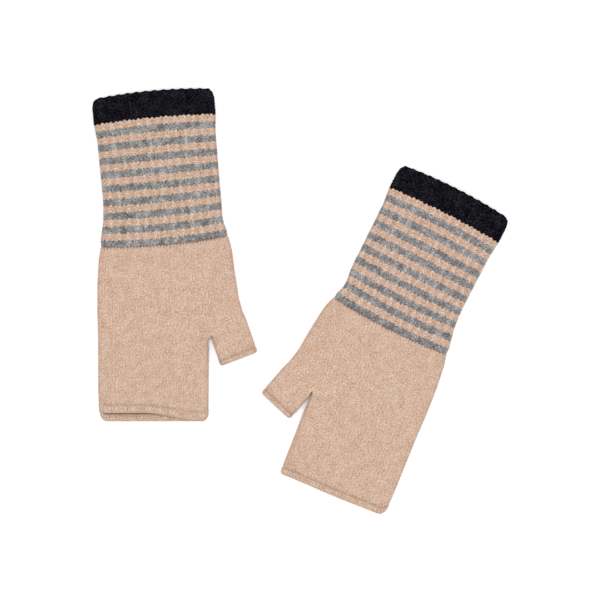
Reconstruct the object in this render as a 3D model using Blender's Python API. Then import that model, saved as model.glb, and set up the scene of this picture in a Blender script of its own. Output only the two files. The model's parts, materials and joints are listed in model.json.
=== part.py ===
"""A pair of knitted fingerless gloves, lying flat on their palms.

Each glove is a hollow knitted tube: a ribbed cuff with a dark top band and grey stripes, a plain
hand that widens into a thumb gusset, a short thumb, and a rolled edge round each far opening.
One glove is drawn once, in its own frame, and the other is its mirror image, turned on the table.

Glove frame, in millimetres: +Y runs from the fingers to the cuff, +X points to the thumb side,
Y = 0 is at the wrist and X = 0 is the middle of the finger opening. The cuff leans away from the
thumb, so it has a frame of its own: p across it and q along it, from the wrist to the top edge.
"""
import math

import bmesh
import bpy
from mathutils import Matrix, Vector

MM = 0.001

# the pair on the table: where each wrist lies, and how far the second glove is turned
LEFT_WRIST = (-119.78, 49.64)
RIGHT_WRIST = (82.02, -22.66)
RIGHT_TURN = -21.7

# the fabric
WALL = 2.4                 # one knitted layer
THICKNESS = 11.0           # both layers and the air between them
TIP_THICKNESS = 10.2       # the same, at the rolled edges
GAP = 0.3                  # between two pieces that meet

# the cuff, measured along its own middle line
CUFF_LEAN = 5.2            # degrees away from the thumb
CUFF_MIDDLE = (9.6, 0.9)   # where the cuff's own frame sits in the glove's
CUFF_TOP = 124.0
BAND_HEIGHT = 23.0
STRIPES = 9
STRIPE_PITCH = 11.85
GREY_HEIGHT = 5.8
BEIGE_HEIGHT = STRIPE_PITCH - GREY_HEIGHT
FIRST_GREY_TOP = CUFF_TOP - BAND_HEIGHT - BEIGE_HEIGHT
WRIST_SEAM = FIRST_GREY_TOP - (STRIPES - 1) * STRIPE_PITCH - GREY_HEIGHT
# a row of stitches bends: its two ends stand above its middle at the wrist, below it at the top
BOW_AT_WRIST = 3.2
BOW_AT_TOP = -3.0
# the cuff's width: height along the cuff, full width
CUFF_WIDTHS = ((-6.0, 107.0), (2.0, 103.0), (14.0, 98.4), (32.0, 96.3), (90.0, 97.2), (106.0, 100.4),
               (117.0, 100.4), (CUFF_TOP, 95.0))

# the hand and the thumb
HEM = 4.0                  # height of a rolled edge
FINGER_EDGE = -147.0
FINGER_HALF_WIDTH = 46.0
CROTCH = (48.6, -76.0)
THUMB_TURN = 21.0          # degrees between the thumb and the hand
THUMB_ROOT_WIDTH = 31.0
THUMB_TIP_WIDTH = 29.4
THUMB_LENGTH = 26.4
# the little-finger side and the thumb side of the hand, from the wrist down: x, y
OUTER_SIDE = ((-45.2, -16.0), (-46.4, -36.0), (-46.4, -60.0), (-45.8, -80.0), (-45.6, -125.0))
THUMB_SIDE = ((65.9, -14.0), (69.2, -32.0), (71.4, -47.0), (74.4, -58.0))

# how finely a tube's cross-section is cut
FLAT_STEPS = 5
ROUND_STEPS = 4
EDGE_ROUND = 4.6

NAVY = (0.008, 0.007, 0.011)
GREY = (0.28, 0.28, 0.285)
BEIGE = (0.64, 0.44, 0.31)


def interpolate(table, at):
    """Read a width off a short table, straight between its rows."""
    for (low, first), (high, second) in zip(table, table[1:]):
        if at <= high:
            return first + (second - first) * (at - low) / (high - low)
    return table[-1][1]


def cross_section(width, thickness, inset=0.0):
    """A flattened tube seen end on: (across, up) points, clockwise from the lower left."""
    half, low, high = width / 2 - inset, inset, thickness - inset
    radius = (high - low) / 2
    flat = half - radius
    middle = (low + high) / 2
    points = [(-flat + 2 * flat * i / FLAT_STEPS, low) for i in range(FLAT_STEPS)]
    for i in range(ROUND_STEPS):
        angle = -math.pi / 2 + math.pi * i / ROUND_STEPS
        points.append((flat + radius * math.cos(angle), middle + radius * math.sin(angle)))
    points += [(flat - 2 * flat * i / FLAT_STEPS, high) for i in range(FLAT_STEPS)]
    for i in range(ROUND_STEPS):
        angle = math.pi / 2 + math.pi * i / ROUND_STEPS
        points.append((-flat + radius * math.cos(angle), middle + radius * math.sin(angle)))
    return points


def yarn_material(name, colour):
    material = bpy.data.materials.new(name)
    material.use_nodes = True
    shader = material.node_tree.nodes["Principled BSDF"]
    shader.inputs["Base Color"].default_value = (*colour, 1.0)
    shader.inputs["Roughness"].default_value = 0.95
    shader.inputs["Metallic"].default_value = 0.0
    return material


class Glove:
    """One glove on its own empty: side is 1 with the thumb at +X, and -1 for the mirror image."""

    def __init__(self, name, wrist, turn, side):
        self.name, self.side = name, side
        self.base = self.empty("base", Matrix.Translation((wrist[0] * MM, wrist[1] * MM, 0))
                               @ Matrix.Rotation(math.radians(turn), 4, "Z"), None)
        seam_ends = WRIST_SEAM + BOW_AT_WRIST
        self.wrist_hinge = self.empty("wrist_hinge", self.turned(
            self.from_cuff(0, seam_ends), THICKNESS, CUFF_LEAN), self.base)
        root = self.from_thumb(THUMB_ROOT_WIDTH / 2, 0)
        self.thumb_hinge = self.empty("thumb_hinge", self.turned(root, THICKNESS, THUMB_TURN),
                                      self.base)

    def empty(self, name, place, parent):
        holder = bpy.data.objects.new(f"{self.name}_{name}_axis", None)
        bpy.context.scene.collection.objects.link(holder)
        holder.parent = parent
        holder.matrix_local = place
        return holder

    def turned(self, point, height, degrees):
        """A place in the glove's frame, in metres, with its own X along the hinge."""
        return (Matrix.Translation((point[0] * self.side * MM, point[1] * MM, height * MM))
                @ Matrix.Rotation(math.radians(degrees * self.side), 4, "Z"))

    @staticmethod
    def from_cuff(p, q):
        """Cuff frame to glove frame, in millimetres."""
        lean = math.radians(CUFF_LEAN)
        return (CUFF_MIDDLE[0] + p * math.cos(lean) - q * math.sin(lean),
                CUFF_MIDDLE[1] + p * math.sin(lean) + q * math.cos(lean))

    @staticmethod
    def from_thumb(across, along):
        """Thumb frame to glove frame: across from the crotch outwards, along towards the tip."""
        turn = math.radians(THUMB_TURN)
        return (CROTCH[0] + across * math.cos(turn) + along * math.sin(turn),
                CROTCH[1] + across * math.sin(turn) - along * math.cos(turn))

    def add(self, name, mesh, colour, parent):
        """Turn a bmesh in the glove's millimetres into a named object on its empty."""
        if self.side < 0:
            for vert in mesh.verts:
                vert.co.x = -vert.co.x
        bmesh.ops.recalc_face_normals(mesh, faces=mesh.faces)
        if mesh.calc_volume(signed=True) < 0:
            bmesh.ops.reverse_faces(mesh, faces=mesh.faces)
        bmesh.ops.scale(mesh, vec=(MM, MM, MM), verts=mesh.verts)
        bpy.context.view_layer.update()
        into = (self.base.matrix_world.inverted() @ parent.matrix_world).inverted()
        mesh.transform(into)
        data = bpy.data.meshes.new(f"{self.name}_{name}")
        mesh.to_mesh(data)
        mesh.free()
        data.materials.append(yarn_material(f"{self.name}_{name}_yarn", colour))
        data.shade_smooth()
        data.set_sharp_from_angle(angle=math.radians(50))
        part = bpy.data.objects.new(f"{self.name}_{name}", data)
        bpy.context.scene.collection.objects.link(part)
        part.parent = parent
        return part

    def tube(self, mesh, stations, place):
        """Add one hollow tube to mesh: stations are (along, width, thickness, bow) from end to end."""
        loops = []
        for inset, row in ((0.0, stations), (WALL, stations[::-1])):
            for along, width, thickness, bow in row:
                loop = []
                for across, up in cross_section(width, thickness, inset):
                    bent = along + bow * (2 * across / width) ** 2
                    loop.append(mesh.verts.new((*place(across, bent), up)))
                loops.append(loop)
        for first, second in zip(loops, loops[1:] + loops[:1]):
            for i, corner in enumerate(first):
                after = (i + 1) % len(first)
                mesh.faces.new((corner, first[after], second[after], second[i]))

    def cuff_ring(self, name, colour, low, high):
        """A stretch of the cuff between two rows of stitches, given by their middles."""
        cuts = [low + GAP / 2] + [q for q, _ in CUFF_WIDTHS if low + 2 < q < high - 2] + [high - GAP / 2]
        share = (BOW_AT_TOP - BOW_AT_WRIST) / (CUFF_TOP - WRIST_SEAM)
        ring = bmesh.new()
        self.tube(ring, [(q, interpolate(CUFF_WIDTHS, q), THICKNESS,
                          BOW_AT_WRIST + share * (q - WRIST_SEAM)) for q in cuts], self.from_cuff)
        self.add(name, ring, colour, self.wrist_hinge)

    def cuff(self):
        """The dark band, then a beige and a grey stripe by turns down to the wrist."""
        self.cuff_ring("cuff_band", NAVY, CUFF_TOP - BAND_HEIGHT, CUFF_TOP)
        for i in range(STRIPES):
            top = FIRST_GREY_TOP - i * STRIPE_PITCH
            self.cuff_ring(f"beige_stripe_{i + 1}", BEIGE, top, top + BEIGE_HEIGHT)
            self.cuff_ring(f"grey_stripe_{i + 1}", GREY, top - GREY_HEIGHT, top)

    def hand_outline(self, past):
        """The hand from above, as (points, which sides are folds); past lengthens its three ends."""
        seam = WRIST_SEAM - GAP + past
        half = interpolate(CUFF_WIDTHS, WRIST_SEAM) / 2
        wrist = [self.from_cuff(p * half, seam + BOW_AT_WRIST * p * p)
                 for p in (-1.0, -0.6, -0.2, 0.2, 0.6, 1.0)]
        root = [self.from_thumb(THUMB_ROOT_WIDTH, past), self.from_thumb(0, past)]
        crotch = [(FINGER_HALF_WIDTH + 1.3, CROTCH[1] - 1.0), (FINGER_HALF_WIDTH + 0.6, CROTCH[1] - 4.0)]
        if past:
            crotch = [(FINGER_HALF_WIDTH + 0.6, CROTCH[1] - past)]
        edge = FINGER_EDGE + HEM + GAP - past
        fingers = [(FINGER_HALF_WIDTH + 0.3, edge), (-FINGER_HALF_WIDTH + 0.9, edge)]
        points = wrist + list(THUMB_SIDE) + root + crotch + fingers + list(OUTER_SIDE)[::-1]
        ends = {*range(len(wrist) - 1), len(wrist) + len(THUMB_SIDE),
                len(wrist) + len(THUMB_SIDE) + len(root) + len(crotch)}
        return points, [i not in ends for i in range(len(points))]

    @staticmethod
    def slab(points, folded, low, high, rounding):
        """A solid with this outline, whose folded sides are rounded."""
        mesh = bmesh.new()
        base = mesh.faces.new([mesh.verts.new((x, y, low)) for x, y in points])
        bmesh.ops.recalc_face_normals(mesh, faces=mesh.faces)
        base_verts = list(base.verts)
        raised = bmesh.ops.extrude_face_region(mesh, geom=[base], use_keep_orig=True)["geom"]
        top = [v for v in raised if isinstance(v, bmesh.types.BMVert)]
        bmesh.ops.translate(mesh, vec=(0, 0, high - low), verts=top)
        mesh.verts.ensure_lookup_table()
        count = len(points)
        edges = []
        for i, fold in enumerate(folded):
            if fold:
                first, second = base_verts[i], base_verts[(i + 1) % count]
                edges.append(mesh.edges.get((first, second)))
                above = [min(top, key=lambda v, b=b: (v.co.xy - b.co.xy).length)
                         for b in (first, second)]
                edges.append(mesh.edges.get(above))
        bmesh.ops.bevel(mesh, geom=edges, offset=rounding, segments=3, profile=0.5,
                        affect="EDGES", clamp_overlap=True)
        return mesh

    @staticmethod
    def pulled_in(points, folded, distance):
        """The outline with each folded side moved inwards; the open ends stay where they are."""
        count = len(points)
        area = sum(a[0] * b[1] - b[0] * a[1] for a, b in zip(points, points[1:] + points[:1]))
        lines = []
        for i, fold in enumerate(folded):
            start, end = Vector(points[i]), Vector(points[(i + 1) % count])
            normal = (end - start).orthogonal().normalized() * (1 if area > 0 else -1)
            shift = normal * (distance if fold else 0.0)
            lines.append((start + shift, end + shift))
        moved = []
        for i in range(count):
            (a, b), (c, d) = lines[i - 1], lines[i]
            along, other = b - a, d - c
            across = along.x * other.y - along.y * other.x
            if abs(across) < 1e-3 * along.length * other.length:
                moved.append(tuple(c))
                continue
            share = ((c.x - a.x) * other.y - (c.y - a.y) * other.x) / across
            moved.append(tuple(a + along * share))
        return moved

    def hand(self):
        """The hand: an outer solid, hollowed by an inner one that runs out of its three ends."""
        outline, folded = self.hand_outline(0.0)
        outer = self.slab(outline, folded, 0.0, THICKNESS, EDGE_ROUND)
        longer, folded = self.hand_outline(12.0)
        inner = self.slab(self.pulled_in(longer, folded, WALL), folded, WALL, THICKNESS - WALL,
                          EDGE_ROUND - WALL)
        hollow = self.add("hand_hollow", inner, BEIGE, self.base)
        hollow.hide_render = True
        hollow.display_type = "WIRE"
        hand = self.add("hand", outer, BEIGE, self.base)
        cut = hand.modifiers.new("hollow", "BOOLEAN")
        cut.operation = "DIFFERENCE"
        cut.solver = "EXACT"
        cut.object = hollow

    def thumb(self):
        """The thumb, and the rolled edge at its end."""
        body = THUMB_LENGTH - HEM

        def place(across, along):
            return self.from_thumb(THUMB_ROOT_WIDTH / 2 + across, along)

        tube = bmesh.new()
        self.tube(tube, [(GAP, THUMB_ROOT_WIDTH, THICKNESS, 0.0),
                         (body, THUMB_TIP_WIDTH, TIP_THICKNESS, 0.0)], place)
        self.add("thumb", tube, BEIGE, self.thumb_hinge)
        edge = bmesh.new()
        self.tube(edge, [(body + GAP, THUMB_TIP_WIDTH, TIP_THICKNESS, 0.0),
                         (THUMB_LENGTH, THUMB_TIP_WIDTH - 1.0, TIP_THICKNESS, 0.0)], place)
        self.add("thumb_edge", edge, BEIGE, self.thumb_hinge)

    def finger_edge(self):
        """The rolled edge round the finger opening."""
        edge = bmesh.new()
        width = 2 * FINGER_HALF_WIDTH - 0.6
        self.tube(edge, [(FINGER_EDGE + HEM, width, THICKNESS, 0.0),
                         (FINGER_EDGE, width - 3.0, TIP_THICKNESS, 0.0)],
                  lambda across, along: (0.6 + across, along))
        self.add("finger_edge", edge, BEIGE, self.base)


def main():
    for old in list(bpy.data.objects):
        bpy.data.objects.remove(old)
    for name, wrist, turn, side in (("left", LEFT_WRIST, 0.0, 1), ("right", RIGHT_WRIST, RIGHT_TURN, -1)):
        glove = Glove(name, wrist, turn, side)
        glove.cuff()
        glove.hand()
        glove.thumb()
        glove.finger_edge()


main()
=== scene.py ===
"""A pair of knitted fingerless gloves lying flat, dressed over the frame's bodies.

Each glove has two knitted skins: the ribbed cuff, and the hand with the fingers' tube and the thumb.
A skin is a grid of stitches. Its columns follow the wales. Its rows follow the courses and climb and
fall with the V of each stitch, so a change of yarn is toothed as in real knit. The skins are cut
into closed pieces, with an outer and an inner face. The rolled edges are closed rolls.

Lengths are millimetres until a mesh is made, and metres in the mesh. A glove's own axes start at the
wrist hinge: y points from the fingers to the cuff, x towards the thumb and z up from the table.
"""

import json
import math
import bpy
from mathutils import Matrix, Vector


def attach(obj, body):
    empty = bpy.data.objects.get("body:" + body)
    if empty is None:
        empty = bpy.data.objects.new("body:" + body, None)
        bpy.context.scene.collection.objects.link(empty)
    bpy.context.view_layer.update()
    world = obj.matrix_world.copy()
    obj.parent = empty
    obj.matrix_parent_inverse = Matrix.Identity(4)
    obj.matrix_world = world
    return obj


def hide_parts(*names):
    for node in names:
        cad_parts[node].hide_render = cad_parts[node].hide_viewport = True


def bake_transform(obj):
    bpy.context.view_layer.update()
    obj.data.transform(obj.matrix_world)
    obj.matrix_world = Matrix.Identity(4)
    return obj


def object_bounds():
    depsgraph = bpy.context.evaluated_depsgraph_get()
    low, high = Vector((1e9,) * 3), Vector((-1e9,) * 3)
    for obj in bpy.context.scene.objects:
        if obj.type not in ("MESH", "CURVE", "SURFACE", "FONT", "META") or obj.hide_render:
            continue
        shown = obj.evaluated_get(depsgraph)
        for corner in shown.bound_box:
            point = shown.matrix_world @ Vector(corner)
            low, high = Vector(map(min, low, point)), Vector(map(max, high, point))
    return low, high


bl_info = {
    "name": "Knitted fingerless gloves",
    "version": (1, 0, 0),
    "blender": (4, 5, 0),
    "location": "View3D > Sidebar > Gloves",
    "description": "Knits a pair of striped fingerless gloves over their frame",
    "category": "Mesh",
}

import bpy
import numpy as np

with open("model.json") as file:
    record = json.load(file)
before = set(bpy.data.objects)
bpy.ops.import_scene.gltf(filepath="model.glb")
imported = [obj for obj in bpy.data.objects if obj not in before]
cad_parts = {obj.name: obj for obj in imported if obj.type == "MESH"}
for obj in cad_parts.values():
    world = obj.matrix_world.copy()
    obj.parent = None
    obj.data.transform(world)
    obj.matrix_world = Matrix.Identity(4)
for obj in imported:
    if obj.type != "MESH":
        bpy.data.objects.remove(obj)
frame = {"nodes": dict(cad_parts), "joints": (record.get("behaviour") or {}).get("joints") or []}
cad_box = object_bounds()

MM = 0.001
SIDES = ("left", "right")
STRIPES = 9
ROWS = 4                    # grid rows to a course
HAND_COLUMNS = 4            # grid columns to a stitch of the hand
CUFF_COLUMNS = 6            # grid columns to a stitch of the cuff
CUFF_STITCHES = 28          # stitches on each layer of the cuff, knit and purl in turn
TUBE_STITCHES = 64          # stitches of the fingers' tube that come down from the wrist
GUSSET_STITCHES = 20        # stitches of the thumb that come down from the wrist
FORK_STITCHES = 4           # stitches across the fork, on the fingers' side and on the thumb's
HAND_COURSES = 29           # courses from the wrist to the fork
FINGER_COURSES = 27
THUMB_COURSES = 10
INNER_STEP = 8              # the inner face keeps one row in so many


def linear(code):
    """An sRGB hex colour as linear RGB."""
    values = [int(code[i:i + 2], 16) / 255 for i in (1, 3, 5)]
    return tuple(c / 12.92 if c <= 0.04045 else ((c + 0.055) / 1.055) ** 2.4 for c in values)


def smooth(t):
    """A ramp from 0 to 1 that starts and ends level."""
    t = np.clip(t, 0, 1)
    return t * t * (3 - 2 * t)


def colour(name, description, code):
    """A colour setting."""
    return bpy.props.FloatVectorProperty(
        name=name, description=description, subtype="COLOR", size=3, default=linear(code))


class YarnColours(bpy.types.PropertyGroup):
    """The three yarns, each spun from a dark, a middle and a light fibre."""
    beige: colour("Beige", "Wool of the hand and of half the stripes", "#BB9E89")
    beige_dark: colour("Beige, dark fibre", "Tan fibres in the beige wool", "#996B4C")
    beige_light: colour("Beige, light fibre", "Pale fibres in the beige wool", "#D8C8BD")
    grey: colour("Grey", "Wool of the other stripes", "#7A7878")
    grey_dark: colour("Grey, dark fibre", "Charcoal fibres in the grey wool", "#3B3A39")
    grey_light: colour("Grey, light fibre", "Pale fibres in the grey wool", "#BDBCBB")
    navy: colour("Navy", "Wool of the band at the cuff's top", "#060509")
    navy_dark: colour("Navy, dark fibre", "Black fibres in the navy wool", "#030203")
    navy_light: colour("Navy, light fibre", "Slate fibres in the navy wool", "#393841")


def size(name, description, default, **settings):
    """A setting in millimetres, unless its description, subtype or unit says otherwise."""
    return bpy.props.FloatProperty(name=name, description=description, default=default, **settings)


def pair(name, description, default):
    """Two settings of one kind, in millimetres."""
    return bpy.props.FloatVectorProperty(name=name, description=description, size=2, default=default)


class KnitSizes(bpy.types.PropertyGroup):
    """The fabric, in millimetres unless the description says otherwise."""
    wall: size("Wall", "Thickness of one knitted layer", 2.2, min=1.0, max=3.0)
    slant: size("Stitch slant", "How far the legs of a stitch climb, in courses", 0.75)
    cuff_slant: size("Cuff slant", "How far the legs climb in the cuff, in courses", 0.42)
    stitch: size("Stitch depth", "Relief of the hand's stitches", 0.55)
    cuff_stitch: size("Cuff stitch depth", "Relief of the cuff's stitches", 0.6)
    rib: size("Rib depth", "How far the purl wales lie below the knit wales", 0.5)
    rib_course: size("Rib course", "Height of one row of stitches in the cuff", 2.9)
    scallop: size("Scallop", "How far the cuff's top edge rises at each rib", 0.3)
    cuff_thickness: size("Cuff thickness", "Both layers of the cuff at its folds", 8.2)
    hand_thickness: size("Hand thickness", "Both layers of the hand at its folds", 7.8)
    thumb_thickness: size("Thumb thickness", "Both layers of the thumb at its folds", 7.4)
    fold: size("Fold radius", "Radius of the side folds", 3.7)
    fork: size("Fork length", "How soon the fork opens into two round folds", 5.0)
    crown: size("Crown", "How far the upper layer rises between its folds", 1.3)
    wave: size("Wave", "How far the upper layer rises and falls where it lies loose", 0.3)
    tuck: size("Tuck", "How far the hand runs up under the cuff", 2.5)
    bed: size("Bed", "Height of the lower layer over the table", 1.05)
    left_wrist: size("Left wrist", "How far the left cuff draws in on its thumb side", 3.4)
    right_wrist: size("Right wrist", "How far the right cuff draws in on its thumb side", 4.8)
    lean: size("Cuff lean", "Angle between the cuff and the hand", math.radians(5.2), subtype="ANGLE")


class EdgeSizes(bpy.types.PropertyGroup):
    """The edges, and how each glove lies beside its frame, in millimetres.

    A pair of places goes from the outer side to the thumb side.
    """
    left_roll: pair("Left finger roll", "Half height and half length of the roll", (2.1, 3.4))
    right_roll: pair("Right finger roll", "Half height and half length of the roll", (2.1, 2.8))
    thumb_roll: pair("Thumb roll", "Half height and half length of the roll", (1.7, 2.0))
    left_reach: size("Left reach", "How much longer than its frame the left glove hangs", 2.2)
    right_reach: size("Right reach", "How much longer than its frame the right glove hangs", 0.6)
    left_spread: size("Left spread", "How much wider than its frame the left fingers' tube lies", -1.6)
    right_spread: size("Right spread", "How much wider than its frame the right fingers' tube lies", 1.2)
    left_thumb: size("Left thumb", "How much further out than its frame the left thumb lies", -2.0)
    right_thumb: size("Right thumb", "How much further out than its frame the right thumb lies", -0.8)
    thumb_reach: size("Thumb reach", "How much longer than their frames the thumbs lie", 1.8)
    left_cuff: size("Left cuff", "Height of the left cuff, as a share of its frame's", 0.983)
    right_cuff: size("Right cuff", "Height of the right cuff, as a share of its frame's", 0.991)
    left_mouth: pair("Left mouth", "How far the left upper edge draws back", (7.2, 1.4))
    right_mouth: pair("Right mouth", "How far the right upper edge draws back", (-0.6, 0.4))
    left_corners: pair("Left corners", "Radius of the left finger edge's corners", (6.2, 5.2))
    right_corners: pair("Right corners", "Radius of the right finger edge's corners", (6.2, 1.4))
    left_fork: size("Left fork", "How much further down than its frame the left fork lies", 2.3)
    right_fork: size("Right fork", "How much further down than its frame the right fork lies", -1.5)
    left_inner: size("Left thumb's inner side", "How much nearer the fingers than its frame", 2.9)
    right_inner: size("Right thumb's inner side", "How much nearer the fingers than its frame", 2.2)
    thumb_corner: size("Thumb corner", "Radius of the thumb edge's corners", 1.4)
    cuff_corner: size("Cuff corner", "Radius of the cuff's top corners", 4.0)
    bump: size("Bump", "Relief of the purl stitches on the rolls", 0.25)


class StageSettings(bpy.types.PropertyGroup):
    """The table, the lights and the camera."""
    floor: colour("Floor", "Laminate of the studio table", "#FAFAFA")
    sky: size("Sky", "Strength of the even light", 1.1)
    key: size("Key", "Power of the large soft light, in watts", 12.0)
    lens: size("Lens", "Focal length of the camera", 150.0)
    field: size("Field", "Width of table in the picture", 0.492, unit="LENGTH")


class GloveFrame:
    """One glove's axes and outline, measured from the frame's joints and nodes."""

    def __init__(self, name, knit):
        self.name = name
        joints = {joint["name"]: joint for joint in frame["joints"]}
        wrist, thumb = joints[f"{name}_wrist_bend"], joints[f"{name}_thumb_bend"]
        self.wrist = np.array(wrist["pos_m"][:2])
        root = np.array(thumb["pos_m"][:2]) - self.wrist
        across = np.array(wrist["axis"][:2])
        side = 1 if root @ across > 0 else -1
        self.cuff_axes = np.array((across * side, (-across[1], across[0])))
        turn = np.array(((math.cos(knit.lean), -math.sin(knit.lean)),
                         (math.sin(knit.lean), math.cos(knit.lean))))
        self.axes = turn @ self.cuff_axes
        self.root = self.axes @ root / MM
        across = self.axes @ np.array(thumb["axis"][:2])
        self.root_axes = np.array((across, (across[1], -across[0]))) * np.sign(across[0])
        self.rings = [f"{name}_cuff_band"]
        for i in range(1, STRIPES + 1):
            self.rings += [f"{name}_beige_stripe_{i}", f"{name}_grey_stripe_{i}"]
        self.read_cuff(knit)
        self.read_hand(knit)

    def points(self, node, axes):
        """A node's corners in the plane of two axes."""
        flat = np.array([v.co[:2] for v in frame["nodes"][node].data.vertices])
        return (flat - self.wrist) @ axes.T / MM

    def sides(self, nodes, axes, at):
        """The lowest and the highest x of these nodes on the lines y = at."""
        low, high = np.full(len(at), np.inf), np.full(len(at), -np.inf)
        for node in nodes:
            local = self.points(node, axes)
            edges = np.array([e.vertices[:] for e in frame["nodes"][node].data.edges])
            start, end = local[edges[:, 0]], local[edges[:, 1]]
            for i, y in enumerate(at):
                crossing = (start[:, 1] - y) * (end[:, 1] - y) < 0
                a, b = start[crossing], end[crossing]
                x = a[:, 0] + (b[:, 0] - a[:, 0]) * (y - a[:, 1]) / (b[:, 1] - a[:, 1])
                low[i], high[i] = min(x.min(initial=low[i]), low[i]), max(x.max(initial=high[i]), high[i])
        known = np.isfinite(low)
        return np.interp(at, at[known], low[known]), np.interp(at, at[known], high[known])

    def read_cuff(self, knit):
        """Where each ring of yarn ends, how far its rows bend, and how wide the cuff is."""
        middle_width, fold_share, step = 12, 0.93, 3.0
        above_wrist, below_top = 4, 3
        self.ring_ends, self.bow = [], []
        for ring in self.rings:
            local = self.points(ring, self.cuff_axes)
            middle = local[np.abs(local[:, 0]) < middle_width, 1]
            fold = local[local[:, 0] > fold_share * local[:, 0].max(), 1]
            if not self.ring_ends:
                self.ring_ends, self.bow = [middle.max()], [fold.max() - middle.max()]
            self.ring_ends.append(middle.min())
            self.bow.append(fold.min() - middle.min())
        heights = -np.diff(self.ring_ends)
        self.ring_courses = np.concatenate(([0], np.cumsum(np.round(heights / knit.rib_course))))
        self.cuff_q = np.arange(self.ring_ends[-1] + above_wrist, self.ring_ends[0] - below_top, step)
        low, high = self.sides(self.rings, self.cuff_axes, self.cuff_q)
        beside = np.clip(np.arange(len(low)) + np.array(((-1,), (0,), (1,))), 0, len(low) - 1)
        self.cuff_low = low[beside].min(0)
        self.cuff_high = high[beside].max(0) - self.drawn_in(self.cuff_q, knit)

    def drawn_in(self, height, knit):
        """How far the thumb side draws in at a height above the wrist hinge."""
        middle, spread = 8.0, 14.0
        return getattr(knit, f"{self.name}_wrist") * np.exp(-((height - middle) / spread) ** 2)

    def read_hand(self, knit):
        """The sides of the hand, the end of the fingers' tube, and the root and size of the thumb."""
        above_end, below_wrist, step, root_depth = 5, 3, 3.0, 1
        hand = self.points(f"{self.name}_hand", self.axes)
        self.finger_end = self.points(f"{self.name}_finger_edge", self.axes)[:, 1].min()
        self.hand_y = np.arange(self.finger_end + above_end, hand[:, 1].max() - below_wrist, step)
        self.hand_low, high = self.sides([f"{self.name}_hand"], self.axes, self.hand_y)
        self.hand_high = high - self.drawn_in(self.hand_y - high * math.sin(knit.lean), knit)
        root_axes = self.root_axes @ self.axes
        middle = self.root_axes @ self.root
        thumb = self.points(f"{self.name}_thumb", root_axes) - middle
        tip = self.points(f"{self.name}_thumb_edge", root_axes) - middle
        self.root_half = np.ptp(thumb[thumb[:, 1] < thumb[:, 1].min() + root_depth, 0]) / 2
        self.tip_half = np.ptp(tip[:, 0]) / 2
        self.thumb_length = tip[:, 1].max()
        self.fork = self.root - self.root_half * self.root_axes[0]
        self.root_end = self.root + self.root_half * self.root_axes[0]

    def cuff_to_hand(self, places):
        """Cuff coordinates to hand coordinates, in the plane."""
        return places @ self.cuff_axes @ self.axes.T

    def metres(self, places):
        """Hand coordinates in millimetres to the frame's, in metres."""
        flat = self.wrist + places[..., :2] @ self.axes * MM
        return np.concatenate((flat, places[..., 2:] * MM), -1)


def fold_arc(reach, radius, thickness, count):
    """Evenly spaced points from the lower layer out round a side fold and back on the upper layer."""
    arc_points = 9
    turn = np.linspace(0, math.pi / 2, arc_points)
    lower = np.stack((reach - radius + radius * np.sin(turn), radius - radius * np.cos(turn)), 1)
    upper = lower[::-1] * (1, -1) + (0, thickness)
    path = np.concatenate(([(0, 0)], lower, upper, [(0, thickness)]))
    length = np.concatenate(([0], np.cumsum(np.hypot(*np.diff(path, axis=0).T))))
    at = np.linspace(0, length[-1], count + 1)
    return np.stack([np.interp(at, length, path[:, k]) for k in (0, 1)], 1)


def lifted(flat, z, thickness, crown, knit):
    """Places in the plane with their heights, crowned and in soft waves on the upper layer."""
    x, y = flat.T
    short_ripple, long_ripple = np.sin(x / 11 + y / 17), np.sin(y / 23 - x / 37)    # 58 and 123 mm
    wave = crown * short_ripple * long_ripple
    z = knit.bed + z * (1 + (knit.crown * crown + knit.wave * wave) / thickness)
    return np.concatenate((flat, z[:, None]), 1)


def corner_dip(distance, radius):
    """How far a rounded corner draws back at a distance from its side."""
    inset = np.clip(radius - distance, 0, radius)
    return radius - np.sqrt(radius ** 2 - inset ** 2)


def crowned(share):
    """How far the upper layer has risen at a share of the way from fold to fold, 0 to 1."""
    return 1 - np.abs(2 * share - 1) ** 4


def slanted(grid, slant, stitches, keep):
    """The grid with its rows climbing to the middle of each stitch, unevenly, as hand knitting does.

    Where keep is below 1, the rows stay nearer to their places.
    """
    unevenness = 0.18        # in courses, in ripples of 2 and 5 stitches and of 7 and 12 courses
    rows = np.arange(len(grid), dtype=float)[:, None]
    drop = np.abs(2 * (stitches % 1) - 1) - 0.5
    wander = unevenness * np.sin(2.7 * stitches + 0.21 * rows) * np.sin(1.3 * stitches - 0.13 * rows)
    at = np.clip(rows + ROWS * (slant * drop + wander) * keep, 0, len(grid) - 1)
    low = np.minimum(at.astype(int), len(grid) - 2)
    part = (at - low)[..., None]
    column = np.broadcast_to(np.arange(grid.shape[1]), at.shape)
    return grid[low, column] * (1 - part) + grid[low + 1, column] * part


def leg_relief(stitches, courses):
    """Height of knit stitches about the middle of the fabric's face, from -0.6 to 0.4.

    A stitch has two fat legs side by side, pinched where the next course starts.
    """
    between_legs, pinch, depth = 0.3, 0.35, 0.6
    across = np.interp(stitches % 1, (0, 0.25, 0.5, 0.75, 1), (0, 1, between_legs, 1, 0))
    return across * (1 - pinch - pinch * np.cos(2 * math.pi * courses)) - depth


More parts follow.
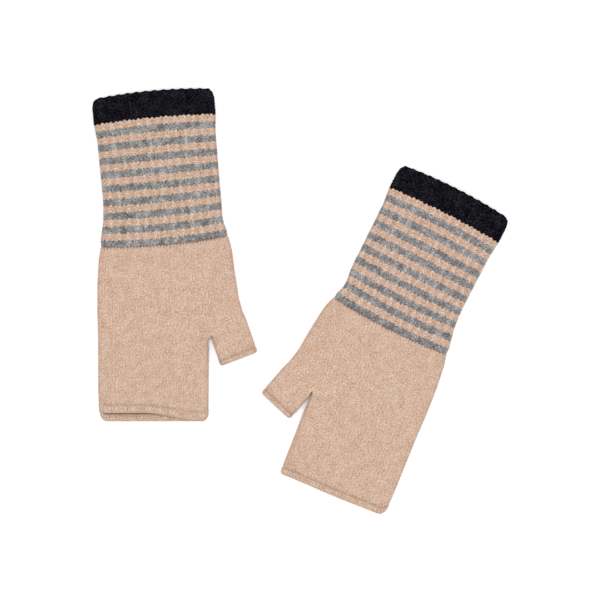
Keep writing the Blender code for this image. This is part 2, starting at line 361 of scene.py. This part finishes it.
class Skin:
    """A knitted surface: its points, their relief, and its faces with the stitch at each corner."""

    def __init__(self):
        self.points, self.relief, self.count = [], [], 0

    def add(self, points, relief):
        """Takes a grid of points and gives their numbers."""
        index = self.count + np.arange(points[..., 0].size).reshape(points.shape[:-1])
        self.points.append(points.reshape(-1, 3))
        self.relief.append(np.broadcast_to(relief, index.shape).ravel())
        self.count += index.size
        return index

    def dress(self, patches, wall):
        """Moves the points out by their relief, and adds the inner face's points after them."""
        points, relief = np.concatenate(self.points), np.concatenate(self.relief)
        faces = np.concatenate([patch[0] for patch in patches])
        corners = points[faces]
        facing = np.cross(corners[:, 2] - corners[:, 0], corners[:, 3] - corners[:, 1])
        normals = np.zeros_like(points)
        for k in range(4):
            np.add.at(normals, faces[:, k], facing)
        normals /= np.maximum(np.linalg.norm(normals, axis=1, keepdims=True), 1e-9)
        if (normals * (points - points.mean(0)))[:, 2].sum() < 0:
            normals = -normals
        self.normals = normals
        outer = points + normals * relief[:, None]
        return np.concatenate((outer, points - normals * wall))


def patch(index, stitches, rows):
    """The faces of a grid, and the stitch and course at each face's corners."""
    place = np.stack(np.broadcast_arrays(stitches, np.asarray(rows)[:, None] / ROWS), -1)
    around = ((slice(None, -1), slice(None, -1)), (slice(1, None), slice(None, -1)),
              (slice(1, None), slice(1, None)), (slice(None, -1), slice(1, None)))
    faces, places = (np.stack([grid[part] for part in around], 2) for grid in (index, place))
    return faces.reshape(-1, 4), places.reshape(-1, 4, 2)


def make_piece(name, glove, points, relief, patches, rims, wool, slot):
    """One closed mesh. The edges of the rims, which join its outer and inner faces, stay crisp."""
    faces = np.concatenate([p[0] for p in patches + rims])
    places = np.concatenate([p[1] for p in patches + rims])
    used, faces = np.unique(faces, return_inverse=True)
    faces = faces.reshape(-1, 4)
    points = glove.metres(points[used])
    a, b, c, d = (points[faces[:, k]] for k in range(4))
    volume = (np.cross(a, b) * c + np.cross(a, c) * d).sum()
    if volume < 0:
        faces, places = faces[:, ::-1], places[:, ::-1]
    mesh = bpy.data.meshes.new(name)
    mesh.from_pydata(points.tolist(), [], faces.tolist())
    layer = mesh.uv_layers.new(name="Knit")
    layer.uv.foreach_set("vector", places.reshape(-1).astype(np.float32))
    # Relief also sets the wool's painted shade: the lower it is, the darker the colour is painted
    height = mesh.attributes.new("Relief", "FLOAT", "POINT")
    height.data.foreach_set("value", np.pad(relief, (0, used[-1] + 1))[used].astype(np.float32))
    mesh.shade_smooth()
    first_rim = sum(len(p[1]) for p in patches)
    for loop in mesh.loops[4 * first_rim:]:
        mesh.edges[loop.edge_index].use_edge_sharp = True
    mesh.materials.append(wool)
    piece = bpy.data.objects.new(name, mesh)
    bpy.context.scene.collection.objects.link(piece)
    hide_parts(name_of_node(name))
    return piece


def name_of_node(piece_name):
    """The CAD node that a piece stands for has its name, without the ending."""
    return piece_name.removesuffix("_knit")


def rim(outer, inner, stitches, row):
    """The faces that close a wall along one row."""
    return patch(np.stack((outer, inner)), stitches, (row, row))


def lay_out_cuff(glove, knit, edges, rows, stitches):
    """The cuff's grid of places, its rows from the top edge down to the wrist."""
    ends = np.array(glove.ring_ends)
    ends[0] -= knit.wall / 2
    ends = ends[-1] + (ends - ends[-1]) * getattr(edges, f"{glove.name}_cuff")
    middle = np.interp(rows / ROWS, glove.ring_courses, ends)
    bow = np.interp(rows / ROWS, glove.ring_courses, glove.bow)
    low, high = (np.interp(middle, glove.cuff_q, side) for side in (glove.cuff_low, glove.cuff_high))
    scalloped_courses = 3
    grid = np.zeros((len(rows), len(stitches), 3))
    for r in rows:
        reach = (high[r] - low[r]) / 2
        arc = fold_arc(reach, knit.fold, knit.cuff_thickness, len(stitches) // 2)
        p = np.concatenate((-arc[:, 0], arc[-2::-1, 0])) + (low[r] + high[r]) / 2
        z = np.concatenate((arc[:, 1], arc[-2::-1, 1]))
        share = np.clip((p - low[r]) / (2 * reach), 0, 1)
        dip = corner_dip(reach * (1 - np.abs(2 * share - 1)), edges.cuff_corner)
        rise = knit.scallop * np.cos(math.pi * (stitches - 0.5)) - dip
        near_top = 1 - smooth(r / (scalloped_courses * ROWS))
        q = middle[r] + bow[r] * (2 * share - 1) ** 2 + near_top * rise
        flat = glove.cuff_to_hand(np.stack((p, q), 1))
        grid[r] = lifted(flat, z, knit.cuff_thickness, crowned(share), knit)
    straight_courses = 2     # the cast-on edge has no climbing legs
    keep = smooth(rows[:, None] / (straight_courses * ROWS))
    return slanted(grid, knit.cuff_slant, stitches, keep)


def rib_relief(knit, rows, stitches):
    """Height of the rib about the middle of its face. Every second wale is purl and lies deeper."""
    purl_flatness, knit_height, drawn_in = 0.4, 0.35, 0.2
    furrow = 0.5 + 0.5 * np.cos(math.pi * (stitches + 0.5))
    row = rows[:, None].astype(float)
    relief = knit.cuff_stitch * leg_relief(stitches, row / ROWS) * (1 - purl_flatness * furrow)
    last_course = 1 - smooth((rows[-1] - row) / ROWS)
    return relief + knit.rib * (knit_height - furrow) - drawn_in * last_course


def knit_cuff(glove, knit, edges, wools):
    """The cuff: one ring for the band and for each stripe."""
    rows = np.arange(int(glove.ring_courses[-1]) * ROWS + 1)
    stitches = np.arange(2 * CUFF_STITCHES * CUFF_COLUMNS + 1) / CUFF_COLUMNS
    grid = lay_out_cuff(glove, knit, edges, rows, stitches)
    skin = Skin()
    index = skin.add(grid[:, :-1], rib_relief(knit, rows, stitches)[:, :-1])
    index = np.concatenate((index, index[:, :1]), 1)
    points = skin.dress([patch(index, stitches, rows)], knit.wall)
    inner = index + skin.count
    lip = cuff_lip(points, index[0], inner[0], glove)
    lip_index = len(points) + np.arange(lip[..., 0].size).reshape(lip.shape[:2])
    lip_index = np.concatenate((lip_index, lip_index[:, :1]), 1)
    lip_index = np.concatenate((index[:1], lip_index, inner[:1]))
    points = np.concatenate((points, lip.reshape(-1, 3)))
    rib_shade = 0.13         # the ribs draw together and shade their yarn as if it lay this much deeper
    relief = skin.relief[0] - rib_shade
    pieces = []
    for ring, start, end in zip(glove.rings, glove.ring_courses[:-1], glove.ring_courses[1:]):
        a, b = int(start * ROWS), int(end * ROWS)
        steps = np.unique(np.append(np.arange(a, b, INNER_STEP), b))
        patches = [patch(index[a:b + 1], stitches, rows[a:b + 1]),
                   patch(inner[steps][::-1], stitches, steps[::-1])]
        rims = [rim(index[b], inner[b], stitches, b)]
        if a == 0:
            patches.append(patch(lip_index[::-1], stitches, np.zeros(len(lip_index))))
        else:
            rims.append(rim(inner[a], index[a], stitches, a))
        yarn = ring.removeprefix(f"{glove.name}_").split("_")[0].replace("cuff", "navy")
        pieces.append(make_piece(f"{ring}_knit", glove, points, relief, patches, rims, wools[yarn],
                                 f"{yarn}_wool"))
    return pieces


def cuff_lip(points, outer, inner, glove):
    """The rounded cast-on edge between the outer and the inner face: rows of a half circle."""
    out, back = points[outer[:-1]], points[inner[:-1]]
    centre, arm = (out + back) / 2, (out - back) / 2
    up = np.append(glove.cuff_to_hand(np.array((0.0, 1.0))), 0)
    radius = np.linalg.norm(arm, axis=1, keepdims=True)
    steps = 6
    turn = np.linspace(0, math.pi, steps + 1)[1:-1]
    return np.stack([centre + arm * math.cos(t) + up * radius * math.sin(t) for t in turn])


class HandSkin(Skin):
    """The hand, the fingers' tube and the thumb as one skin that divides at the fork.

    Four grids share their border points. main runs from the gusset's line on the lower layer round
    the outer fold to the same line on the upper layer. side is the gusset and, past the fork, the
    thumb. finger_fork and thumb_fork close the two tubes on the fork's sides.
    """

    def __init__(self, glove, knit, edges):
        super().__init__()
        self.glove, self.knit, self.edges = glove, knit, edges
        parts = ("roll", "reach", "spread", "mouth", "corners", "fork", "thumb", "inner")
        (self.roll, self.reach, self.spread, self.mouth, self.corners, self.fork_down, self.thumb_out,
         self.thumb_inner) = (getattr(edges, f"{glove.name}_{part}") for part in parts)
        self.main_columns = TUBE_STITCHES * HAND_COLUMNS
        self.side_columns = GUSSET_STITCHES * HAND_COLUMNS
        self.fork_columns = FORK_STITCHES * HAND_COLUMNS
        self.fork_row = HAND_COURSES * ROWS
        self.finger_rows = FINGER_COURSES * ROWS
        self.thumb_rows = THUMB_COURSES * ROWS
        self.lay_out_hand()
        self.lay_out_fingers()
        self.lay_out_thumb()
        self.join_grids()

    def seam(self):
        """The row where the hand starts, a little way up under the cuff."""
        glove = self.glove
        share = np.linspace(0, 1, 41)
        p = glove.cuff_low[0] + share * (glove.cuff_high[0] - glove.cuff_low[0])
        q = glove.ring_ends[-1] + self.knit.tuck + glove.bow[-1] * (2 * share - 1) ** 2
        return glove.cuff_to_hand(np.stack((p, q), 1))

    def lay_out_hand(self):
        """Rows from the wrist to the fork, each with its part of main and of side."""
        glove, knit = self.glove, self.knit
        seam = self.seam()
        gusset_lean, fork_gap, settled_courses = 7.0, 1.0, 10
        self.split = glove.fork - (fork_gap, self.fork_down)
        split_start = np.array((self.split[0] - gusset_lean, 0))
        split_start[1] = np.interp(split_start[0], *seam.T)
        left_fold = self.side_line(glove.hand_low, (), seam[0])
        right_fold = self.side_line(glove.hand_high, glove.root_end, seam[-1])
        main, side, crowns = [], [], []
        for r in range(self.fork_row + 1):
            f = r / self.fork_row
            split = split_start + f * (self.split - split_start)
            left_y = seam[0, 1] + f * (self.split[1] - seam[0, 1])
            right_y = seam[-1, 1] + f * (glove.root_end[1] - seam[-1, 1])
            left = np.array((np.interp(left_y, *left_fold), left_y))
            right = np.array((np.interp(right_y, *right_fold), right_y))
            right += smooth(2 * f) * self.thumb_out * glove.root_axes[0]
            for grid, end, seam_end, count, turn in ((main, left, seam[0], self.main_columns, 1),
                                                     (side, right, seam[-1], self.side_columns, -1)):
                reach = np.linalg.norm(end - split)
                arc = fold_arc(reach, knit.fold, knit.hand_thickness, count)[::turn]
                part = arc[:, :1] / reach
                flat = split + part * (end - split)
                start = split_start + part * (seam_end - split_start)
                seam_rise = np.interp(start[:, 0], *seam.T) - start[:, 1]
                flat[:, 1] += (1 - smooth(r / (settled_courses * ROWS))) * seam_rise
                share = np.clip((flat[:, 0] - left[0]) / (right[0] - left[0]), 0, 1)
                crown = crowned(share)
                grid.append(lifted(flat, arc[:, 1], knit.hand_thickness, crown, knit))
                crowns.append(crown)
        self.main, self.side, self.crowns = main, side, crowns[-2:]
        height = np.linspace(knit.hand_thickness, 0, self.fork_columns + 1)[1:-1]
        flat = np.broadcast_to(self.split, (len(height), 2))
        self.fork_line = lifted(flat, height, knit.hand_thickness, self.crowns[0][-1], knit)

    def side_line(self, fold, start, end):
        """The y and x of a side of the hand, up to its end at the seam and from its start, if given."""
        y, under_seam, past_start = self.glove.hand_y, 3.0, 0.5
        kept = y < end[1] - under_seam
        if len(start):
            kept &= y > start[1] + past_start
        line = np.stack((np.append(y[kept], end[1]), np.append(fold[kept], end[0])))
        return np.insert(line, 0, start[::-1], 1) if len(start) else line

    def lay_out_fingers(self):
        """Rows from the fork to the middle of the rolled edge."""
        glove, knit = self.glove, self.knit
        clear_of_fork, settled_courses, corner_courses = 6, 6, 5
        mouth_bend, mouth_start, mouth_width = 1.5, 0.42, 0.5
        start, end = self.split[1], glove.finger_end + self.roll[1] - self.reach
        below = glove.hand_y < start - clear_of_fork
        self.finger_fork = []
        for r in range(1, self.finger_rows + 1):
            y = start + (end - start) * r / self.finger_rows
            opened = smooth((start - y) / knit.fork)
            left = np.interp(y, glove.hand_y, glove.hand_low)
            right = np.interp(y, glove.hand_y[below], glove.hand_high[below])
            right = self.split[0] + opened * (right + self.spread - self.split[0])
            radius = knit.fold * opened
            middle = right - radius
            arc = fold_arc(middle - left, knit.fold, knit.hand_thickness, self.main_columns)
            fork = fold_arc(radius, radius, knit.hand_thickness, self.fork_columns)[::-1]
            settled = smooth(r / (settled_courses * ROWS))
            late = smooth(1 - (self.finger_rows - r) / (corner_courses * ROWS))
            for grid, x, z, old in ((self.main, middle - arc[:, 0], arc[:, 1], self.crowns[0]),
                                    (self.finger_fork, middle + fork[:, 0], fork[:, 1],
                                     self.crowns[0][-1])):
                share = np.clip((x - left) / (right - left), 0, 1)
                crown = old + settled * (crowned(share) - old)
                across = smooth((share - mouth_start) / mouth_width)
                draw = self.mouth[0] + (self.mouth[1] - self.mouth[0]) * across
                dip = corner_dip(x - left, self.corners[0]) + corner_dip(right - x, self.corners[1])
                rise = dip * late + draw * z / knit.hand_thickness * (r / self.finger_rows) ** mouth_bend
                flat = np.stack((x, y + rise), 1)
                grid.append(lifted(flat, z, knit.hand_thickness, crown, knit))

    def lay_out_thumb(self):
        """Rows from the thumb's root to the middle of its rolled edge."""
        glove, knit, edges = self.glove, self.knit, self.edges
        thumb_crown, settled_courses, corner_courses = 0.6, 5, 2
        split = glove.root_axes @ (self.split - glove.root)
        end = glove.thumb_length - edges.thumb_roll[1] + edges.thumb_reach
        self.thumb_fork = []
        for r in range(1, self.thumb_rows + 1):
            f = r / self.thumb_rows
            opened = smooth(end * f / knit.fork)
            half = glove.root_half + f * (glove.tip_half - glove.root_half)
            left = split[0] + opened * (self.thumb_out * f - half - self.thumb_inner - split[0])
            half += self.thumb_out
            radius = min(knit.fold, knit.thumb_thickness / 2) * opened
            middle = left + radius
            thickness = knit.hand_thickness + opened * (knit.thumb_thickness - knit.hand_thickness)
            outer = min(knit.fold, thickness / 2)
            arc = fold_arc(half - middle, outer, thickness, self.side_columns)[::-1]
            fork = fold_arc(radius, radius, thickness, self.fork_columns)
            settled = smooth(r / (settled_courses * ROWS))
            late = smooth(1 - (self.thumb_rows - r) / (corner_courses * ROWS))
            for grid, a, z, old in ((self.side, middle + arc[:, 0], arc[:, 1], self.crowns[1]),
                                    (self.thumb_fork, middle - fork[:, 0], fork[:, 1],
                                     self.crowns[1][-1])):
                share = np.clip((a - left) / (half - left), 0, 1)
                crown = old + settled * (thumb_crown * crowned(share) - old)
                dip = sum(corner_dip(inset, edges.thumb_corner) for inset in (a - left, half - a))
                along = end * f + (1 - opened) * split[1] * (1 - share) - dip * late
                flat = glove.root + np.stack((a, along), 1) @ glove.root_axes
                grid.append(lifted(flat, z, thickness, crown, knit))

    def fabric(self, grid, stitches, first_row, crease_row):
        """A grid with its rows slanted, and the relief of its stitches, both fading at the fork.

        The fabric is drawn in under the cuff, and along crease_row, where a rolled edge presses on it.
        Both dips are also painted darker as shade, since the relief sets the wool's painted furrow shade.
        The rows next to the fork are evened out.
        """
        calm_stitches, evening, evened_rows = 1.5, 8, 8
        under_cuff, cuff_edge, cuff_fade = 1.0, 0.6, 0.9
        crease, crease_width = 0.4, 2.5
        rows = first_row + np.arange(len(grid))[:, None]
        from_fork = np.abs(rows - self.fork_row)
        from_split = np.minimum(stitches - stitches[0], stitches[-1] - stitches)
        near = (1 - smooth(from_split / calm_stitches)) * (1 - smooth(from_fork / (calm_stitches * ROWS)))
        ends = smooth(rows / ROWS) * smooth((rows[-1] - rows) / ROWS)
        share = ((from_fork < evened_rows) * (1 - near))[1:-1, :, None]
        for _ in range(evening):
            settled = (grid[:-2] + 2 * grid[1:-1] + grid[2:]) / 4
            grid[1:-1] += share * (settled - grid[1:-1])
        relief = self.knit.stitch * leg_relief(stitches, rows / ROWS) * (1 - near)
        # painted shade: the rows under the cuff are painted darker as well as drawn in
        relief = relief - under_cuff * (1 - smooth((rows / ROWS - cuff_edge) / cuff_fade))
        # the crease is partly a real dip and partly painted shade: a darker line where the roll's shadow
        # falls
        relief = relief - crease * (1 - smooth(np.abs(rows - crease_row) / crease_width))
        return slanted(grid, self.knit.slant, stitches, (1 - near) * ends), relief

    def join_grids(self):
        """Numbers the points so that neighbouring grids share theirs, and dresses the skin."""
        split, sizes = self.fork_row, (TUBE_STITCHES, GUSSET_STITCHES, FORK_STITCHES, FORK_STITCHES)
        ends = np.cumsum((0,) + sizes[:3])
        starts = (0, ends[1], ends[1], ends[2])
        self.stitches = [start + np.arange(count * HAND_COLUMNS + 1) / HAND_COLUMNS
                         for start, count in zip(starts, sizes)]
        finger_length = self.split[1] - self.glove.finger_end
        finger_crease = self.crease_row(self.finger_rows, finger_length, self.roll[1])
        thumb_crease = self.crease_row(self.thumb_rows, self.glove.thumb_length, self.edges.thumb_roll[1])
        main = self.add(*self.fabric(np.array(self.main), self.stitches[0], 0, finger_crease))
        places, relief = self.fabric(np.array(self.side), self.stitches[1], 0, thumb_crease)
        gusset = self.add(places[:split + 1, 1:-1], relief[:split + 1, 1:-1])
        gusset = np.concatenate((main[:split + 1, -1:], gusset, main[:split + 1, :1]), 1)
        side = np.concatenate((gusset, self.add(places[split + 1:], relief[split + 1:])))
        line = self.add(self.fork_line, np.zeros(len(self.fork_line)))[None]
        forks = []
        for grid, stitches, crease, start, beside in (
                (self.finger_fork, self.stitches[2], finger_crease, line, main),
                (self.thumb_fork, self.stitches[3], thumb_crease, line[:, ::-1], side)):
            places, relief = self.fabric(np.array(grid), stitches, split + 1, crease)
            fork = np.concatenate((start, self.add(places[:, 1:-1], relief[:, 1:-1])))
            forks.append(np.concatenate((beside[split:, -1:], fork, beside[split:, :1]), 1))
        self.grids = {"main": (main, self.stitches[0], 0),
                      "gusset": (side[:split + 1], self.stitches[1], 0),
                      "thumb": (side[split:], self.stitches[1], split),
                      "finger_fork": (forks[0], self.stitches[2], split),
                      "thumb_fork": (forks[1], self.stitches[3], split)}
        patches = [patch(index, stitches, first + np.arange(len(index)))
                   for index, stitches, first in self.grids.values()]
        self.places = self.dress(patches, self.knit.wall)
        self.heights = np.concatenate(self.relief)

    def crease_row(self, rows, length, half_roll):
        """The row where the roll lies on a tube of this length and number of rows."""
        beside_roll = 0.3
        return self.fork_row + rows - (half_roll + beside_roll) * rows / length

    def piece_faces(self, grids):
        """The outer and the inner patches of these grids, and the rims at their two ends."""
        patches, rims = [], []
        for name in grids:
            index, stitches, first = self.grids[name]
            rows = first + np.arange(len(index))
            kept = (rows % INNER_STEP == 0) | np.isin(rows, (rows[0], self.fork_row, rows[-1]))
            patches += [patch(index, stitches, rows),
                        patch(index[kept][::-1] + self.count, stitches, rows[kept][::-1])]
            rims += [rim(index[0] + self.count, index[0], stitches, rows[0]),
                     rim(index[-1], index[-1] + self.count, stitches, rows[-1])]
        return patches, rims

    def end_loop(self, tube, fork):
        """The last row of a tube: its points, the ways out of the fabric, and the stitch at each."""
        loop = np.concatenate((self.grids[tube][0][-1], self.grids[fork][0][-1][1:-1]))
        points = np.concatenate(self.points)[loop]
        return points, self.normals[loop], np.arange(len(loop) + 1) / HAND_COLUMNS


def roll_edge(name, skin, tube, fork, onward, half_sizes):
    """The edge of a tube, curled outwards so that the purl side shows: a closed roll round its end.

    The roll stands proud of the fabric and is a little flattened. Its bumps are shaded more deeply
    than they are shaped, and the last two thirds of its back are shaded as a crease.
    """
    courses, proud, roundness, smoothing = 7, 0.8, 0.75, 3
    crease_shade, crease_start, bump_shade = 0.25, -1 / 3, 2.5
    bump = skin.edges.bump
    points, out, stitches = skin.end_loop(tube, fork)
    out = sum(np.roll(out, k, 0) for k in range(-smoothing, smoothing + 1))
    out /= np.linalg.norm(out, axis=1, keepdims=True)
    course = np.arange(courses * ROWS)[:, None] / ROWS
    turn = course[..., None] * (2 * math.pi / courses)
    height, length = half_sizes
    centre = points - out * (height - proud * np.abs(out[:, 2:]))
    up, on = (np.sign(part) * np.abs(part) ** roundness for part in (np.cos(turn), np.sin(turn)))
    arm = out * height * up + onward * length * on
    facing = out * np.cos(turn) / height + onward * np.sin(turn) / length
    facing /= np.linalg.norm(facing, axis=2, keepdims=True)
    crease = crease_shade * smooth((crease_start - on[..., 0]) / (crease_start + 1))
    relief = bump * np.cos(2 * math.pi * stitches[:-1]) * np.cos(2 * math.pi * course)
    roll = Skin()
    index = roll.add(centre + arm + facing * relief[..., None], 0)
    index = np.concatenate((index, index[:, :1]), 1)
    index = np.concatenate((index, index[:1]))
    shade = (bump_shade * relief - bump - crease).ravel()
    return make_piece(name, skin.glove, roll.points[0], shade,
                      [patch(index, stitches, np.arange(len(index)))], [], wools()["beige"], "beige_wool")


def add_node(tree, kind, links=(), **settings):
    """A node with its settings, its sockets' values and its links from other nodes' outputs."""
    node = tree.nodes.new(kind)
    for key, value in settings.items():
        setattr(node, key, value)
    for socket, source in dict(links).items():
        if isinstance(source, bpy.types.NodeSocket):
            tree.links.new(source, node.inputs[socket])
        else:
            node.inputs[socket].default_value = source
    return node


def wool(name, dark, middle, light, mottle, haze, cloudy):
    """Woollen yarn, carded and loosely spun: matt, with a soft haze of fibre that pales its edges.

    The flecks are dark and light fibres that lie along the legs of the stitches. mottle is the spread
    of noise that reaches their own colours, haze is the sheen of the loose fibres, and cloudy is how
    much the blend of fibres changes along the yarn. The gaps between the legs are darker, because
    little light gets down between them. Sizes are millimetres. Single fibres are far too fine to
    show, so they are drawn 0.5 mm apart.
    """
    stitch_path, course_height = 5.3, 2.4          # along both legs of a stitch, and across them
    fleck_length, fleck_width, cloud_size, fibre_size = 2.2, 0.7, 6.0, 0.5
    fibre_share, fibre_strength, fibre_height = 0.2, 0.35, 0.4
    furrow_shade, darkest_relief, lightest_relief = 0.42, -0.9, 0.15
    material = bpy.data.materials.new(name)
    material.use_nodes = True
    tree = material.node_tree
    tree.nodes.clear()

    def noise(at, scale, roughness=0.5):
        return add_node(tree, "ShaderNodeTexNoise", {
            "Vector": at, "Scale": scale, "Detail": 2.0, "Roughness": roughness}).outputs["Fac"]

    def mixed(share, first, second):
        return add_node(tree, "ShaderNodeMix", {0: share, 2: first, 3: second},
                        data_type="FLOAT").outputs[0]

    knit = add_node(tree, "ShaderNodeUVMap", uv_map="Knit").outputs[0]
    place = add_node(tree, "ShaderNodeTexCoord").outputs["Object"]
    along = add_node(tree, "ShaderNodeVectorMath", {
        0: knit, 1: (stitch_path / fleck_length, course_height / fleck_width, 1)},
        operation="MULTIPLY").outputs[0]
    fleck = noise(along, 1.0, 0.6)
    cloud = noise(place, 1 / (cloud_size * MM))
    fibre = noise(place, 1 / (fibre_size * MM))
    blend = mixed(fibre_share, mixed(cloudy, fleck, cloud), fibre)
    ramp = add_node(tree, "ShaderNodeValToRGB", {"Fac": blend})
    stops = ramp.color_ramp.elements
    stops.new(0.5)
    for stop, position, tone in zip(stops, (0.5 - mottle, 0.5, 0.5 + mottle), (dark, middle, light)):
        stop.position = position
        stop.color = (*tone, 1)
    relief = add_node(tree, "ShaderNodeAttribute", attribute_name="Relief").outputs["Fac"]
    shade = add_node(tree, "ShaderNodeMapRange", {
        "Value": relief, "From Min": darkest_relief, "From Max": lightest_relief,
        "To Min": 1 - furrow_shade, "To Max": 1.0}).outputs[0]
    shaded = add_node(tree, "ShaderNodeVectorMath", {0: ramp.outputs[0], "Scale": shade},
                      operation="SCALE").outputs[0]
    bump = add_node(tree, "ShaderNodeBump", {"Height": fibre, "Strength": fibre_strength,
                                             "Distance": fibre_height * MM})
    surface = add_node(tree, "ShaderNodeBsdfPrincipled", {
        "Base Color": shaded, "Roughness": 0.95, "Sheen Weight": haze, "Sheen Roughness": 0.5,
        "Specular IOR Level": 0.03, "Normal": bump.outputs[0]})
    add_node(tree, "ShaderNodeOutputMaterial", {"Surface": surface.outputs[0]})
    return material


def wools():
    """The three yarns by name, made once."""
    yarns = bpy.context.scene.glove_yarns
    made = {}
    for yarn, mottle, haze, cloudy in (("beige", 0.14, 0.1, 0.13), ("grey", 0.14, 0.08, 0.32),
                                       ("navy", 0.15, 0.0, 0.2)):
        name = f"{yarn} lambswool, knitted"
        tones = (getattr(yarns, yarn + part)[:] for part in ("_dark", "", "_light"))
        made[yarn] = bpy.data.materials.get(name) or wool(name, *tones, mottle, haze, cloudy)
    return made


class GLOVES_OT_knit_cuffs(bpy.types.Operator):
    """Knits the ribbed and striped cuffs, one ring for each change of yarn"""
    bl_idname = "gloves.knit_cuffs"
    bl_label = "Knit the cuffs"

    def execute(self, context):
        knit, edges = context.scene.glove_knit, context.scene.glove_edges
        for name in SIDES:
            glove = GloveFrame(name, knit)
            for piece in knit_cuff(glove, knit, edges, wools()):
                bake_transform(piece)
        return {"FINISHED"}


class GLOVES_OT_knit_hands(bpy.types.Operator):
    """Knits the hands with their gussets, and the thumbs"""
    bl_idname = "gloves.knit_hands"
    bl_label = "Knit the hands and thumbs"

    def execute(self, context):
        knit, edges = context.scene.glove_knit, context.scene.glove_edges
        for name in SIDES:
            glove = GloveFrame(name, knit)
            skin = HandSkin(glove, knit, edges)
            hand, thumb = (
                make_piece(f"{name}_{part}_knit", glove, skin.places, skin.heights,
                           *skin.piece_faces(grids), wools()["beige"], "beige_wool")
                for part, grids in (("hand", ("main", "gusset", "finger_fork")),
                                    ("thumb", ("thumb", "thumb_fork"))))
            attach(hand, f"{name}_hand")
            bend_thumb(thumb, glove)
        return {"FINISHED"}


def bend_thumb(piece, glove):
    """Bakes the piece's place into its mesh. The thumb's root, where it would start to turn, and a point
    along it are worked out but not used.
    """
    bend_length = 14.0
    start = np.append(glove.root, 0)
    end = np.append(glove.root + bend_length * glove.root_axes[1], 0)
    glove.metres(start)
    glove.metres(end)
    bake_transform(piece)


class GLOVES_OT_roll_edges(bpy.types.Operator):
    """Rolls the edges of the fingers' tubes and of the thumbs"""
    bl_idname = "gloves.roll_edges"
    bl_label = "Roll the edges"

    def execute(self, context):
        knit, edges = context.scene.glove_knit, context.scene.glove_edges
        for name in SIDES:
            glove = GloveFrame(name, knit)
            skin = HandSkin(glove, knit, edges)
            fingers = roll_edge(f"{name}_finger_edge_knit", skin, "main", "finger_fork",
                                np.array((0.0, -1.0, 0.0)), skin.roll)
            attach(fingers, f"{name}_hand")
            thumb = roll_edge(f"{name}_thumb_edge_knit", skin, "thumb", "thumb_fork",
                              np.append(glove.root_axes[1], 0), edges.thumb_roll)
            bend_thumb(thumb, glove)
        return {"FINISHED"}


class GLOVES_OT_set_stage(bpy.types.Operator):
    """Lays the table, hangs the lights and sets the camera straight above the gloves"""
    bl_idname = "gloves.set_stage"
    bl_label = "Set the stage"

    def execute(self, context):
        scene, stage = context.scene, context.scene.glove_stage
        table_width, light_height, light_width = 6.0, 1.5, 1.2
        bpy.ops.mesh.primitive_plane_add(size=table_width, location=(0, 0, 0))
        floor = context.object
        floor.name = "studio_table"
        laminate = bpy.data.materials.new("white laminate, matt")    # even, with no reflections
        laminate.use_nodes = True
        surface = laminate.node_tree.nodes["Principled BSDF"]
        surface.inputs["Base Color"].default_value = (*stage.floor, 1)
        surface.inputs["Roughness"].default_value = 0.9
        floor.data.materials.append(laminate)
        world = bpy.data.worlds.new("studio")
        world.use_nodes = True
        background = world.node_tree.nodes["Background"]
        background.inputs["Color"].default_value = (1, 1, 1, 1)
        background.inputs["Strength"].default_value = stage.sky
        scene.world = world
        bpy.ops.object.light_add(type="AREA", location=(0, 0, light_height))
        key = context.object
        key.name = "softbox"
        key.data.shape = "DISK"
        key.data.size = light_width
        key.data.energy = stage.key
        camera = bpy.data.cameras.new("camera above")
        camera.lens = stage.lens
        eye = bpy.data.objects.new("camera above", camera)
        middle = (cad_box[0] + cad_box[1]) / 2
        distance = stage.field * stage.lens / camera.sensor_width
        eye.location = (middle[0], middle[1], middle[2] + distance)
        scene.collection.objects.link(eye)
        scene.camera = eye
        scene.view_settings.view_transform = "Standard"
        return {"FINISHED"}


OPERATORS = (GLOVES_OT_knit_cuffs, GLOVES_OT_knit_hands, GLOVES_OT_roll_edges, GLOVES_OT_set_stage)


class GLOVES_PT_panel(bpy.types.Panel):
    """Lists the steps that knit the gloves"""
    bl_idname = "GLOVES_PT_panel"
    bl_label = "Fingerless gloves"
    bl_space_type = "VIEW_3D"
    bl_region_type = "UI"
    bl_category = "Gloves"

    def draw(self, context):
        for operator in OPERATORS:
            self.layout.operator(operator.bl_idname)


SETTINGS = {"glove_yarns": YarnColours, "glove_knit": KnitSizes, "glove_edges": EdgeSizes,
            "glove_stage": StageSettings}


def register():
    for name, group in SETTINGS.items():
        bpy.utils.register_class(group)
        setattr(bpy.types.Scene, name, bpy.props.PointerProperty(type=group))
    for cls in OPERATORS + (GLOVES_PT_panel,):
        bpy.utils.register_class(cls)


def unregister():
    for cls in (GLOVES_PT_panel,) + OPERATORS[::-1]:
        bpy.utils.unregister_class(cls)
    for name, group in SETTINGS.items():
        delattr(bpy.types.Scene, name)
        bpy.utils.unregister_class(group)


def main():
    register()
    bpy.ops.gloves.knit_cuffs()
    bpy.ops.gloves.knit_hands()
    bpy.ops.gloves.roll_edges()
    bpy.ops.gloves.set_stage()
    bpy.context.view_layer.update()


if __name__ == "__main__":
    main()
